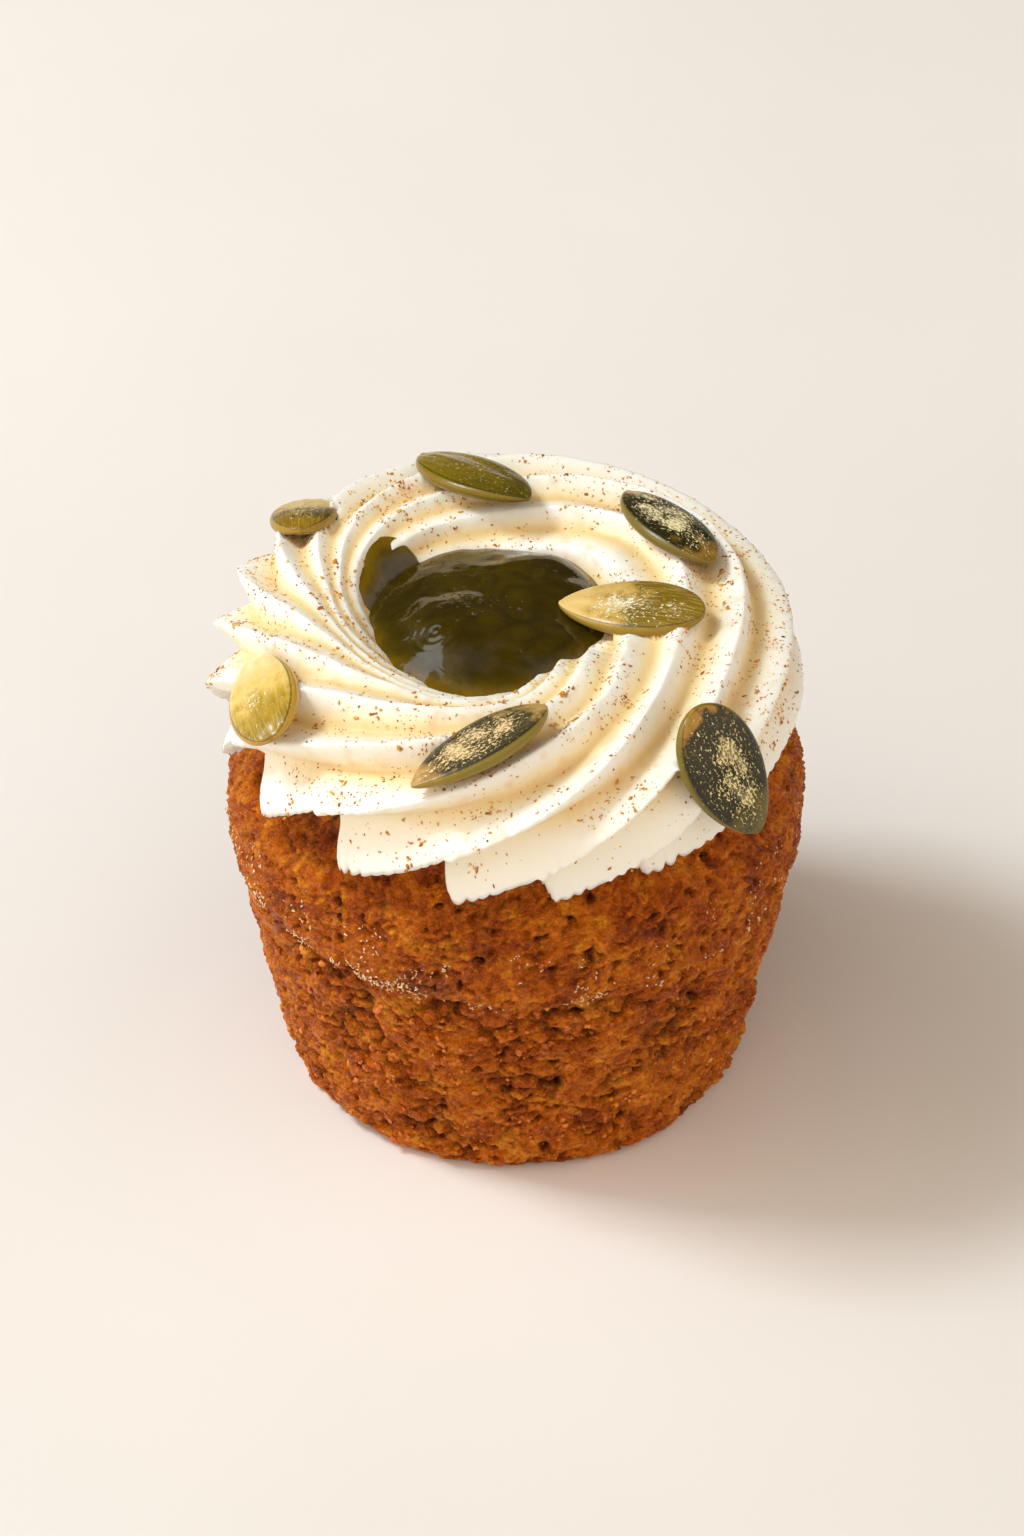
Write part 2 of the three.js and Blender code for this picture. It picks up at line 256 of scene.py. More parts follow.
def makeCakeMaterial():
    material, tree, shader, coords = startMaterial("bakedCarrotCrumb", {
        "IOR": 1.47,
        "Specular IOR Level": 0.28,
        "Subsurface Weight": 0.14,
        "Subsurface Radius": (1.0, 0.4, 0.1),
        "Subsurface Scale": 1.4 * mm,
    })
    patches = mottle(tree, coords, pattern(cakeLook["patch"]), 5, 0.6)
    wrinkles = mottle(tree, coords, pattern(cakeLook["crustWrinkle"]), 4, 0.7, 1.2)
    # each crumb has its own tone, and the low places of the wrinkles are darker: painted shade in
    # the creases
    crumbs = cells(tree, coords, cakeLook["crumbSize"])
    varied = calc(tree, "MULTIPLY_ADD", ownTone(tree, crumbs), 0.2, patches)
    creaseShaded = calc(tree, "MULTIPLY_ADD", wrinkles, 0.6, varied)
    toneAt = calc(tree, "SUBTRACT", creaseShaded, 0.4)
    tone = addNode(tree, "Mix", {"data_type": "RGBA"}, {
        0: attribute(tree, "crust"),
        6: toneRamp(tree, cakeLook["crumb"], toneAt),
        7: toneRamp(tree, cakeLook["crust"], toneAt),
    })
    # broken edges dry out to a pale tan
    flakes = mottle(tree, coords, pattern(cakeLook["flake"]), 6, 0.75)
    edged = tint(tree, tone.outputs[2], remap(tree, flakes, 0.6, 0.75, 0, 0.5), cakeLook["edge"])
    # painted shade: deep torn hollows and crust pits darken towards the hollow tone
    torn = tint(tree, edged, attribute(tree, "depth"), cakeLook["hollowShade"])
    tree.links.new(torn, shader.inputs["Base Color"])
    # crumbs and grains stand up as rounded beads, so height falls with distance
    grain = cells(tree, coords, cakeLook["crumbGrain"])
    rounded = calc(tree, "MULTIPLY_ADD", crumbs.outputs["Distance"], -0.6, wrinkles)
    relief = calc(tree, "MULTIPLY_ADD", grain.outputs["Distance"], -0.4, rounded)
    addBump(tree, shader, relief, 1.0, 0.85)
    # sticky and dry patches
    tree.links.new(remap(tree, patches, 0.35, 0.6, 0.09, 0.38), shader.inputs["Roughness"])
    return material


# What came off the torn side: loose crumbs and shreds of grated carrot. The pale
# glossy beads of sugar syrup on the crust stand in for its wet glints: painted highlight.
litterLook = {
    "crumb": [(0.3, "#984204"), (0.45, "#c46004"), (0.6, "#e07c08"), (0.75, "#e8942a")],
    "carrot": [(0.35, "#b84a04"), (0.65, "#ea7c14")],
    "paleGlint": [(0.35, "#d89a48"), (0.65, "#f2dcb4")],
}


def makeCrumbMaterial():
    material, tree, shader, coords = startMaterial("looseCarrotCrumb", {
        "Roughness": 0.5,
        "Subsurface Weight": 0.15,
        "Subsurface Radius": (1.0, 0.45, 0.12),
        "Subsurface Scale": 0.8 * mm,
    })
    addClouds(tree, shader, coords, 2.2, 4, litterLook["crumb"])
    addBump(tree, shader, mottle(tree, coords, pattern(0.25), 3), 0.8, 0.12)
    return material


def makeCarrotMaterial():
    material, tree, shader, coords = startMaterial("bakedCarrotShred", {
        "Roughness": 0.3,
        "Subsurface Weight": 0.3,
        "Subsurface Radius": (1.0, 0.35, 0.08),
        "Subsurface Scale": 1.0 * mm,
    })
    addClouds(tree, shader, coords, 0.8, 4, litterLook["carrot"])
    return material


# syrup beads: partly real gloss from the coat, partly painted highlight in their pale tone
def makeSyrupGlintMaterial():
    material, tree, shader, coords = startMaterial("sugarSyrupGlint", {
        "Roughness": 0.06,
        "IOR": 1.49,
        "Coat Weight": 1.0,
        "Coat Roughness": 0.04,
    })
    addClouds(tree, shader, coords, 1.5, 2, litterLook["paleGlint"])
    return material


# Thick set gel, poured and folded over itself: wet and mirror-like on top, nearly
# black green where it is deep and golden brown where it thins against the cream.
gelLook = {
    "tones": [(0.2, "#302603"), (0.5, "#4a3a05"), (1.0, "#80600a")],  # deep to thin
    "swirl": 4.5,
    "ripple": 1.3,
}


def makeGelMaterial():
    material, tree, shader, coords = startMaterial("setGel", {
        "Roughness": 0.025,
        "IOR": 1.4,
        "Specular IOR Level": 0.8,
        "Subsurface Weight": 0.08,
        "Subsurface Radius": (1.0, 0.8, 0.2),
        "Subsurface Scale": 0.8 * mm,
    })
    swirl = mottle(tree, coords, pattern(gelLook["swirl"]), 5, distortion=1.6)
    shade = calc(tree, "MULTIPLY_ADD", swirl, 0.6, attribute(tree, "thin"))
    tree.links.new(toneRamp(tree, gelLook["tones"], shade), shader.inputs["Base Color"])
    ripple = mottle(tree, coords, pattern(gelLook["ripple"]), 3, distortion=2.0)
    addBump(tree, shader, ripple, 0.24, 0.12)
    return material


# Roasted pumpkin seed: a thin oily skin over the kernel, green to gold, with fibres
# along it, rubbed through to pale papery flecks, and a band round its edge.
seedSkin = {
    "blotch": 2.4,
    "fibre": (3, 0.25),  # length and width in mm
    "fleck": (0.42, 0.28),
    "dry": 0.75,  # roughness of a fleck
}


def stretch(tree, coords, size):
    length, width = size
    scale = (1 / length, 1 / width, 1)
    return addNode(tree, "Mapping", {"Scale": scale}, {"Vector": coords}).outputs["Vector"]


def makeSeedMaterial(name, look):
    material, tree, shader, _ = startMaterial(name, {
        "IOR": 1.45,
        "Specular IOR Level": 0.4,
        "Coat Weight": look["oil"] * 0.4,
        "Coat Roughness": 0.12,
    })
    skin = attribute(tree, "skin", "Vector")
    paper = attribute(tree, "paper")
    blotch = mottle(tree, skin, 1 / seedSkin["blotch"], 5, 0.6)
    drift = calc(tree, "SUBTRACT", blotch, 0.5)
    body = toneRamp(tree, look["body"], calc(tree, "ADD", attribute(tree, "along"), drift))
    fibres = mottle(tree, stretch(tree, skin, seedSkin["fibre"]), 1, 3)
    ribbed = tint(tree, body, remap(tree, fibres, 0.48, 0.8, 0, 0.5), look["fibre"])
    # the most worn places turn papery all over, under the flecks
    pale = tint(tree, ribbed, remap(tree, paper, 0.6, 1.1, 0, 0.5), look["paper"])
    streaks = mottle(tree, stretch(tree, skin, seedSkin["fleck"]), 1, 3, 0.6, 0.8)
    flecks = remap(tree, calc(tree, "MULTIPLY_ADD", paper, 0.2, streaks), 0.64, 0.7)
    flecked = tint(tree, pale, flecks, look["flecks"])
    banded = tint(tree, flecked, attribute(tree, "band"), look["band"])
    lined = tint(tree, banded, attribute(tree, "line"), look["line"])
    tree.links.new(lined, shader.inputs["Base Color"])
    gloss = remap(tree, flecks, 0, 1, look["gloss"], seedSkin["dry"])
    tree.links.new(gloss, shader.inputs["Roughness"])
    addBump(tree, shader, calc(tree, "MULTIPLY_ADD", fibres, 0.35, flecks), 0.6, 0.06)
    return material


# Ground cinnamon and spice: dry broken bark, dark brown to rust and orange.
spiceLook = [(0.3, "#663608"), (0.38, "#ac6610"), (0.5, "#d48e22"), (0.64, "#e6ba5e")]


def makeSpiceMaterial():
    material, tree, shader, coords = startMaterial("groundCinnamon", {"Roughness": 0.8})
    addClouds(tree, shader, coords, 0.9, 2, spiceLook)
    return material


# The cake

cake = {
    "baseRadius": 27.0,
    "cornerRadius": 2.0,
    "rimHeight": 28.7,
    "rimRadius": 31.6,
    "rimCrease": 0.5,
    "equatorHeight": 31.5,
    "capRadius": 32.3,
    "capHeight": 14.3,
    "columns": 560,
    "rowStep": 0.3,
    "shownCap": radians(36),  # the rest of the cap is under the cream
    "seed": 7.3,
    # how wide and how deep each kind of break in the crumb and the crust is, in mm
    "wide": {"broad": 6, "crumbs": 2.7, "small": 1.25, "ledges": 2.1, "pits": 1.9,
             "wrinkles": 1.5, "fine": 0.8, "dimples": 1.3, "lip": 3},
    "deep": {"broad": 0.75, "crumbs": 0.95, "small": 0.45, "ledges": 0.65, "pits": 1.2,
             "bakedBroad": 0.65, "bakedSmall": 0.3, "wrinkles": 0.75, "dimples": 0.9,
             "lip": 0.5},
    "droop": 0.25,  # a sunk place goes down by this share as well as in
    "smoothInside": 24,  # from here the cream hides the crust
    "coveredTo": (26, 29),
}


def capPoint(climb):
    radius = cake["capRadius"] * cos(climb) ** (2 / 3)
    return radius, cake["equatorHeight"] + cake["capHeight"] * sin(climb) ** 0.5


def domeRadius(height):
    climbed = clamp((height - cake["equatorHeight"]) / cake["capHeight"]) ** 2
    return cake["capRadius"] * (1 - climbed ** 2) ** (1 / 3)


def domeHeight(radius):
    inwards = clamp(radius / cake["capRadius"]) ** 3
    return cake["equatorHeight"] + cake["capHeight"] * (1 - inwards) ** 0.25


def sideRadius(height):
    slope = (cake["rimRadius"] - cake["baseRadius"]) / (cake["rimHeight"] - cake["cornerRadius"])
    straight = cake["baseRadius"] + slope * (height - cake["cornerRadius"])
    below = max(0, cake["cornerRadius"] - height)
    rounded = cake["cornerRadius"] - math.sqrt(max(0, cake["cornerRadius"] ** 2 - below ** 2))
    swell = smoothStep(height, cake["rimHeight"], cake["equatorHeight"])
    crease = cake["rimCrease"] * hill(height, cake["rimHeight"], 1.1)
    return mix(straight, cake["capRadius"], swell) - rounded - crease


def cakeRelief(at):
    # how far the crumb is sunk below the smooth form at a point, and how much is crust
    seed, wide, deep = cake["seed"], cake["wide"], cake["deep"]
    wander = 1.3 * lumps(at, 7, seed) + 0.5 * lumps(at, 2.2, seed + 1)
    crust = smoothStep(at.z + wander, cake["rimHeight"] - 0.9, cake["rimHeight"] + 0.7)
    broad = 0.5 + 0.6 * lumps(at, wide["broad"], seed) + 0.45 * lumps(at, 3.1, seed + 2, 0.7)
    rugged = smoothStep(lumps(at, 7, seed + 3), -0.4, 0.2)
    crumbs = 1 - beads(at, wide["crumbs"], seed, 0.75)
    small = 1 - beads(at, wide["small"], seed + 5, 0.8)
    layer = at.z / wide["ledges"] + 1.1 * lumps(at, 4, seed + 9)
    ledge = (layer - math.floor(layer)) ** 2 * smoothStep(lumps(at, 5, seed + 12), -0.05, 0.3)
    pit = smoothStep(-lumps(at, wide["pits"], seed + 15, 0.6), 0.34, 0.6)
    torn = deep["broad"] * broad + rugged * (deep["crumbs"] * crumbs + deep["ledges"] * ledge)
    torn += deep["small"] * small + deep["pits"] * pit
    wrinkles = abs(lumps(at, wide["wrinkles"], seed + 20, 0.6))
    wrinkles += 0.6 * abs(lumps(at, wide["fine"], seed + 22, 0.7))
    dimples = smoothStep(-lumps(at, wide["dimples"], seed + 25), 0.42, 0.62)
    baked = deep["bakedBroad"] * broad + deep["wrinkles"] * wrinkles
    baked += deep["dimples"] * dimples + deep["bakedSmall"] * small
    # the crust edge stands out over the torn side in places, at no even height
    lip = deep["lip"] * hill(at.z + wander, cake["rimHeight"] + 1, 0.8)
    lip *= smoothStep(lumps(at, wide["lip"], seed + 30), -0.15, 0.2)
    return mix(torn, baked, crust) - lip, crust


def makeCake():
    bm = bmesh.new()
    profile = [(0, 0)] + [(sideRadius(0) * share, 0) for share in (0.4, 0.75, 0.9, 0.97)]
    sideRows = round(cake["equatorHeight"] / cake["rowStep"])
    for i in range(sideRows + 1):
        height = cake["equatorHeight"] * i / sideRows
        profile.append((sideRadius(height), height))
    shownRows = 40
    for i in range(1, shownRows + 1):
        profile.append(capPoint(cake["shownCap"] * (i / shownRows) ** 1.7))
    for i in range(1, 12):
        profile.append(capPoint(mix(cake["shownCap"], pi / 2, i / 12)))
    profile.append((0, cake["equatorHeight"] + cake["capHeight"]))
    line = [bm.verts.new((x, 0, z)) for x, z in profile]
    edges = [bm.edges.new(pair) for pair in zip(line, line[1:])]
    bmesh.ops.spin(bm, geom=line + edges, cent=(0, 0, 0), axis=(0, 0, 1), angle=2 * pi,
                   steps=cake["columns"], use_merge=True)
    bmesh.ops.remove_doubles(bm, verts=bm.verts, dist=1e-4)
    bmesh.ops.recalc_face_normals(bm, faces=bm.faces)
    hollowShadeLayer = bm.verts.layers.float.new("depth")
    crustLayer = bm.verts.layers.float.new("crust")
    for vert in bm.verts:
        at = vert.co.copy()
        radius = at.xy.length
        if radius < cake["smoothInside"]:
            continue
        sunk, crust = cakeRelief(at)
        push = sunk * mix(0.4, 1, smoothStep(at.z, 0.1, 1.4))
        if at.z >= cake["equatorHeight"]:
            push *= smoothStep(radius, *cake["coveredTo"])
        vert.co.x -= at.x / radius * push
        vert.co.y -= at.y / radius * push
        if at.z > 1.5:
            vert.co.z -= cake["droop"] * push
        # painted shade: how far a place is sunk past the usual depth, for darkening its hollow
        vert[hollowShadeLayer] = clamp((sunk - mix(0.95, 0.8, crust)) / mix(1.3, 0.9, crust))
        vert[crustLayer] = crust
    return finishPiece(bm, "cakeBody", makeCakeMaterial(), ["cake"])


def cakeSurface(around, height):
    # a point on the torn or crusted side, and the way out of it
    radius = sideRadius(height) if height < cake["equatorHeight"] else domeRadius(height)
    out = Vector((cos(around), sin(around), 0))
    sunk, _ = cakeRelief(Vector((radius * out.x, radius * out.y, height)))
    at = out * (radius - sunk)
    at.z = height - cake["droop"] * sunk
    out.z = -0.15 if height < cake["rimHeight"] else 0.45
    return at, out.normalized()


makeCake()


# Small things are one mesh for each kind, joined from copies of one rough grain

def roughGrain(subdivisions, roughness):
    # a function that breaks a ball differently each time, and the ball's faces
    bm = bmesh.new()
    bmesh.ops.create_icosphere(bm, subdivisions=subdivisions, radius=1)
    corners = [vert.co.copy() for vert in bm.verts]
    faces = [[vert.index for vert in face.verts] for face in bm.faces]
    bm.free()

    def broken():
        shift = Vector((random.uniform(0, 99), random.uniform(0, 99), random.uniform(0, 99)))
        return [corner * (1 + roughness * noise.noise(corner * 1.4 + shift)) for corner in corners]

    return broken, faces


def joinCopies(name, material, grain, places):
    broken, faces = grain
    points, allFaces = [], []
    for matrix in places:
        first = len(points)
        points.extend((matrix @ corner) * mm for corner in broken())
        allFaces.extend([first + i for i in face] for face in faces)
    mesh = bpy.data.meshes.new(name)
    mesh.from_pydata(points, [], allFaces)
    mesh.shade_smooth()
    mesh.materials.append(material)
    piece = bpy.data.objects.new(name, mesh)
    scene.collection.objects.link(piece)
    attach(piece, "root")
    print(name, "has", len(mesh.polygons), "faces")
    return piece


def surfaceMatrix(at, normal, spin, sizes):
    upright = normal.to_track_quat("Z", "Y").to_matrix().to_4x4()
    turned = upright @ Matrix.Rotation(spin, 4, "Z")
    return Matrix.Translation(at) @ turned @ Matrix.Diagonal((*sizes, 1))


litter = {
    "crumbs": 1300,
    "crumbSize": (0.14, 0.46),
    "shreds": 26,
    "shredLength": (0.5, 1.1),
    "beads": 1300,
    "beadSize": (0.05, 0.11),
    # the side facing the lights, where the painted glint beads gather
    "litGlintSide": (radians(215), radians(50)),
    "seed": 23,
}


def makeLitter():
    random.seed(litter["seed"])
    crumbs = []
    while len(crumbs) < litter["crumbs"]:
        around, height = random.uniform(0, 2 * pi), random.uniform(1.2, cake["rimHeight"] + 0.6)
        at, out = cakeSurface(around, height)
        if random.random() > 0.35 + 1.2 * lumps(at, 4.5, 41):
            continue
        size = mix(*litter["crumbSize"], random.random() ** 2.2)
        sizes = (size * random.uniform(0.8, 1.4), size * random.uniform(0.7, 1.1), size * 0.75)
        crumbs.append(surfaceMatrix(at - out * size * 0.3, out, random.uniform(0, pi), sizes))
    joinCopies("looseCrumbs", makeCrumbMaterial(), roughGrain(2, 0.9), crumbs)

    shreds = []
    for _ in range(litter["shreds"]):
        around, height = random.uniform(0, 2 * pi), random.uniform(1.5, cake["rimHeight"])
        at, out = cakeSurface(around, height)
        length = random.uniform(*litter["shredLength"])
        sizes = (length, random.uniform(0.28, 0.5), 0.2)
        shreds.append(surfaceMatrix(at - out * 0.05, out, random.uniform(0, pi), sizes))
    joinCopies("carrotShreds", makeCarrotMaterial(), roughGrain(3, 0.5), shreds)

    # painted highlight: pale beads where the wet crust glints, along the rim and on the side facing
    # the lights
    glintDrops = []
    while len(glintDrops) < litter["beads"]:
        around = random.uniform(0, 2 * pi)
        height = cake["rimHeight"] + random.uniform(-0.6, 9)
        at, out = cakeSurface(around, height)
        rim = hill(height, cake["rimHeight"] + 1.2, 1.5)
        wet = smoothStep(lumps(at, 5, 52), 0, 0.3) * (0.25 + 1.1 * rim)
        towardLight = 0.35 + 0.65 * near(around, *litter["litGlintSide"])
        if random.random() > wet * towardLight:
            continue
        size = random.uniform(*litter["beadSize"])
        sizes = (size * random.uniform(1.2, 2.8), size, size * 0.8)
        glintDrops.append(surfaceMatrix(at + out * size * 0.1, out, random.uniform(0, pi), sizes))
    joinCopies("syrupGlintBeads", makeSyrupGlintMaterial(), roughGrain(2, 0.2), glintDrops)


makeLitter()


# The piped ring

ring = {
    "centre": Vector((-2.1, -0.6, 0)),
    "radius": 21.4,
    "height": 52.6,
    "halfWidth": 10.8,
    "widerRight": 1.1,
    "widerFront": 0.6,
    "riseAbove": 8.8,
    "riseFront": -0.4,
    "dropBelow": 12.0,
    "footSquareness": 0.55,
    "footTuckRight": 1.5,
    "ridges": 10,
    "ridgeDepth": 2.4,
    "outerExtra": 1.1,
    "innerLess": 2.0,
    "sharpness": 0.72,
    "start": radians(130),
    "slowing": [(1, radians(-41), radians(50)), (2, radians(-3), radians(35)),
                (3, radians(-9), 0.0)],
    "bunching": radians(45),
    "bunchAround": radians(209),
    "bunchSpread": radians(124),
    "bunchSide": radians(-63),
    "stepsAround": 700,
    "pointsPerRidge": 14,
    "sunkIn": 0.5,  # how far the foot is pressed into the cake
    "wallGroove": 0.3,  # where a groove lies between its crests on the outer wall
    "innerShifts": [(radians(258), radians(34), 0.85), (radians(306), radians(24), -1.5)],
    "footShift": radians(14),
    "footShiftAround": radians(279),
    "footLow": radians(-60),
    "footEven": (radians(310), radians(38)),  # where the foot's steps are smallest
    "footEvenness": 0.65,
    "footRadius": 30,
    "undercut": 4.5,
    "undercutWithin": radians(5),
    "tornFoot": (radians(8), radians(30)),
    "scallop": 1.4,
    "scallopDepth": 0.8,
    "tornRim": (radians(322), radians(38)),
    "rimRadius": 14,
    "rimScallop": 0.9,
    "rimScallopDepth": 0.7,
    "tips": [(radians(-29), radians(133)), (radians(-20.4), radians(103))],
    "tipHeight": 0.8,
}


def ringPoint(around, section, inset):
    across, up = cos(section), sin(section)
    right, front = cos(around), -sin(around)
    halfWidth = ring["halfWidth"] + ring["widerRight"] * right + ring["widerFront"] * front
    if up > 0:
        rise = ring["riseAbove"] + ring["riseFront"] * front
        width, square = halfWidth - inset, 1
    else:
        rise = ring["dropBelow"]
        width = halfWidth - inset - ring["footTuckRight"] * max(0, right) * abs(up)
        square = ring["footSquareness"]
    radius = ring["radius"] + math.copysign(abs(across) ** square, across) * width
    height = ring["height"] + (rise - inset) * up
    return ring["centre"] + Vector((radius * right, -radius * front, height))


def ridgeAt(around, place):
    even = around + ring["start"] - place / ring["ridges"] * 2 * pi
    for times, size, start in ring["slowing"]:
        even += size * sin(times * (around - start))
    bunching = ring["bunching"] * near(around, ring["bunchAround"], ring["bunchSpread"])
    section = math.remainder(even + bunching * sin(even - ring["bunchSide"]), 2 * pi)
    spacing = 1 + bunching * cos(even - ring["bunchSide"])
    shift = ring["footShift"] * near(around, ring["footShiftAround"], radians(32))
    section += shift * near(section, radians(-55), radians(32))
    return section, spacing


def ridgeStrength(around, section):
    # the ridges lie flatter on the bank left of the gel and on the broad right shoulder
    bank = near(around, radians(195), radians(48))
    bank *= smoothStep(section, radians(55), radians(100))
    shoulder = near(around, radians(15), radians(50)) * near(section, radians(28), radians(26))
    # cream was pushed up under the first seed
    pushed = near(around, radians(146), radians(9)) * near(section, radians(48), radians(22))
    return (1 - 0.7 * bank) * (1 - 0.5 * shoulder) * (1 - 0.75 * pushed)


def scallops(along, pitch, shift):
    # narrow notches between rounded scallops, along a torn edge
    step = along / pitch + 0.6 * noise.noise(Vector((along / 3, shift, 0)))
    depth = 0.6 + 0.7 * noise.noise(Vector((along / 1.6, shift, 9)))
    return depth * (1 - abs(sin(pi * step)) ** 0.7)


def creamSurface(around, place):
    # a point of the cream's surface, and how far it is down a groove
    section, spacing = ridgeAt(around, place)
    part = place - math.floor(place)
    across, up = cos(section), sin(section)
    wall = smoothStep(across, 0.3, 0.85) * (1 - smoothStep(up, 0.35, 0.9))
    middle = mix(0.5, ring["wallGroove"], wall)
    if part < middle:
        turned = 0.5 * part / middle
    else:
        turned = 0.5 + 0.5 * (part - middle) / (1 - middle)
    groove = (sin(pi * turned) ** 2) ** ring["sharpness"]
    change = ring["outerExtra"] if across > 0 else ring["innerLess"]
    deepest = (ring["ridgeDepth"] + change * across) * clamp(spacing, 0.4, 1)
    inset = groove * deepest * ridgeStrength(around, section)
    for middle, spread, shift in ring["innerShifts"]:
        inset += shift * near(around, middle, spread) * smoothStep(-across, 0.09, 0.57)

    # each band's crest overhangs the cake until the next band comes out from under it
    spread = 1 - ring["footEvenness"] * near(around, *ring["footEven"])
    edge = ring["footLow"] + (1 - part) * spread * spacing * 2 * pi / ring["ridges"]
    foot = 0
    if across > 0 and up < 0.3:
        inset += ring["undercut"] * smoothStep(edge - section, 0, ring["undercutWithin"])
        foot = 1 - smoothStep(section - edge, *ring["tornFoot"])
    outline = smoothStep(across, 0.75, 0.95)
    fringe = ring["scallopDepth"] * max(foot, 0.35 * outline) * (1 - groove) ** 2.5
    notch = fringe * scallops(around * ring["footRadius"], ring["scallop"], round(place) * 3.7)
    rim = near(section, radians(130), radians(14)) * near(around, *ring["tornRim"])
    rim *= ring["rimScallopDepth"]
    notch += rim * scallops(around * ring["rimRadius"], ring["rimScallop"], 70)
    inset += 0.8 * notch
    at = ringPoint(around, section, inset)
    soft = 0.2 * lumps(at, 4.5, 3.1) + 0.07 * lumps(at, 1.5, 6.2)
    soft += 0.05 * (1 - groove) * lumps(at, 0.7, 8.4)
    at = ringPoint(around, section, inset - soft)
    at.z += 0.5 * notch
    for tipAround, tipSection in ring["tips"]:
        away = (at - ringPoint(tipAround, tipSection, 0)).length
        at.z += ring["tipHeight"] * hill(away, 0, 1.1)
    return at, groove


# Where each seed lies: around and section on the ring, lift of its middle above the
# crests in mm, then how it is turned, its length and its width.
seedPlaces = [
    {"around": 143.6, "section": 58, "lift": -0.6, "turn": (88.9, -21.8, -5.7),
     "size": (13, 7.4), "ends": (0.55, 0.65)},
    {"around": 97, "section": 99.3, "lift": 0.4, "turn": (-43, 7.3, -13.7),
     "size": (16.4, 9), "ends": (0.6, 0.68)},
    {"around": 30.1, "section": 89.3, "lift": 0.2, "turn": (-55.8, 0.5, -16.6),
     "size": (15.8, 8.2), "ends": (0.66, 0.64)},
    {"around": -6.9, "section": 123.9, "lift": 0.5, "turn": (163.9, -7.5, -1.4),
     "size": (16.2, 8.8), "ends": (0.55, 0.72)},
    {"around": 212.7, "section": 46.2, "lift": 0.3, "turn": (99.9, -1.6, -31.1),
     "size": (14.2, 8.2), "ends": (0.5, 0.58)},
    {"around": 266.3, "section": 69.5, "lift": 0.2, "turn": (213.6, -10.8, 15.9),
     "size": (16.8, 8), "ends": (0.65, 0.76)},
    {"around": 315.7, "section": 18.8, "lift": 0.3, "turn": (-15, -62, 34),
     "size": (16.4, 9.5), "ends": (0.5, 0.68)},
]
seedThickness = 2.5
seedBoxiness = 0.8  # 1 is an ellipse in section, less is a flatter face with steeper sides


def seedMatrix(seed):
    at = ringPoint(radians(seed["around"]), radians(seed["section"]), -seed["lift"])
    heading, pitch, roll = (radians(angle) for angle in seed["turn"])
    turned = Matrix.Rotation(heading, 4, "Z") @ Matrix.Rotation(-pitch, 4, "Y")
    return Matrix.Translation(at) @ turned @ Matrix.Rotation(roll, 4, "X")


def seedFullness(t, ends):
    # how full the outline is a share t of the way to the pointed end, which has a nub
    blunt, point = ends
    widest = blunt / (blunt + point)
    full = (t ** blunt * (1 - t) ** point) / (widest ** blunt * (1 - widest) ** point)
    return math.hypot(full, 0.1 * smoothStep(t, 0.93, 0.97) * math.sqrt(1 - t))


def makeCream():
    bm = bmesh.new()
    points = ring["ridges"] * ring["pointsPerRidge"]
    steps = ring["stepsAround"]
    # a plain torus first, whose points are then moved
    reach, tube = 30, 10
    flat = Matrix.Translation((reach, 0, 0)) @ Matrix.Rotation(pi / 2, 4, "X")
    made = bmesh.ops.create_circle(bm, segments=points, radius=tube, matrix=flat)
    loop = made["verts"]
    edges = list({edge for vert in loop for edge in vert.link_edges})
    bmesh.ops.spin(bm, geom=loop + edges, cent=(0, 0, 0), axis=(0, 0, 1), angle=2 * pi,
                   steps=steps, use_merge=True)
    bmesh.ops.recalc_face_normals(bm, faces=bm.faces)
    grooveShadeLayer = bm.verts.layers.float.new("groove")
    dustLayer = bm.verts.layers.float.new("dusted")
    sockets = [(seedMatrix(seed), seed) for seed in seedPlaces]
    for vert in bm.verts:
        x, y, z = vert.co
        turn = math.atan2(y, x)
        out = math.hypot(x, y) - reach
        # steps are closer together at the front, where the torn edges show
        around = turn - 0.3 * cos(turn + radians(10))
        share = (math.atan2(z, out) / (2 * pi)) * ring["ridges"]
        ridge = math.floor(share + 1e-6)
        part = share - ridge
        part -= 0.05 * sin(4 * pi * part)  # closer on crests and in grooves
        at, groove = creamSurface(around, -(ridge + part))
        if at.z < cake["equatorHeight"] + cake["capHeight"]:
            radius = at.xy.length
            floor = domeHeight(radius) - ring["sunkIn"]
            if radius < cake["capRadius"] and at.z < floor:
                at.z = floor
        for matrix, seed in sockets:
            length, width = seed["size"]
            if (at - matrix.translation).length > length / 2:
                continue
            local = matrix.inverted() @ at
            t = local.x / length + 0.5
            if not 0.02 < t < 0.98 or abs(local.z) > 2:
                continue
            fullness = seedFullness(t, seed["ends"])
            halfHeight = seedThickness / 2 * fullness ** 0.7
            share = abs(local.y) / (width / 2 * fullness)
            if share < 1 and -halfHeight < local.z < halfHeight:
                local.z = -halfHeight * math.sqrt(1 - share ** 2) - 0.05
                at = matrix @ local
        vert.co = at
        upper = smoothStep(at.z, ring["height"] - 2, ring["height"] + 4)
        # painted shade in the grooves, stronger on top of the ring
        vert[grooveShadeLayer] = clamp(groove ** 2.2 * mix(0.3, 0.95, upper))
        cluster = 0.55 + 0.9 * lumps(at, 7, 11)
        vert[dustLayer] = clamp(upper * cluster)
    return finishPiece(bm, "cream", makeCreamMaterial(), ["cream"])


makeCream()


# The gel in the well

